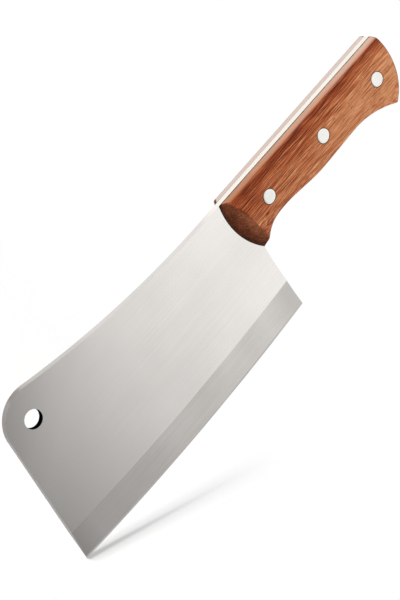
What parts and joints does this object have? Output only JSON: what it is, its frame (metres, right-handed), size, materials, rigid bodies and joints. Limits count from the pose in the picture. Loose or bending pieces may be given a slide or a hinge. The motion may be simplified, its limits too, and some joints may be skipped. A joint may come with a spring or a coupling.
{
  "type": "meat cleaver",
  "caption": "Full-tang meat cleaver with a broad steel blade, round ear with a hanging hole, long flat bevels and riveted wooden scales.",
  "frame": {"origin": "middle of the bounding box in X and Y, at its lowest side, so that the cleaver lies on its right side on z = 0", "axes": "+X along the handle towards the butt, +Y towards the spine, +Z out of the left side of the blade"},
  "size_m": [0.308, 0.0992, 0.019],
  "materials": {
    "blade_steel": "satin-ground stainless steel with fine grinding lines",
    "handle_wood": "oiled red-brown hardwood with straight grain along the handle",
    "rivet_metal": "ground flush with the wood, satin",
    "epoxy": "dark cured epoxy"
  },
  "bodies": {
    "root": {"blade": "blade_steel", "left_epoxy_bed": "epoxy", "right_epoxy_bed": "epoxy", "left_scale": "handle_wood", "right_scale": "handle_wood", "front_rivet_socket": "rivet_metal", "front_rivet_pin": "rivet_metal", "middle_rivet_socket": "rivet_metal", "middle_rivet_pin": "rivet_metal", "rear_rivet_socket": "rivet_metal", "rear_rivet_pin": "rivet_metal"}
  },
  "joints": []
}
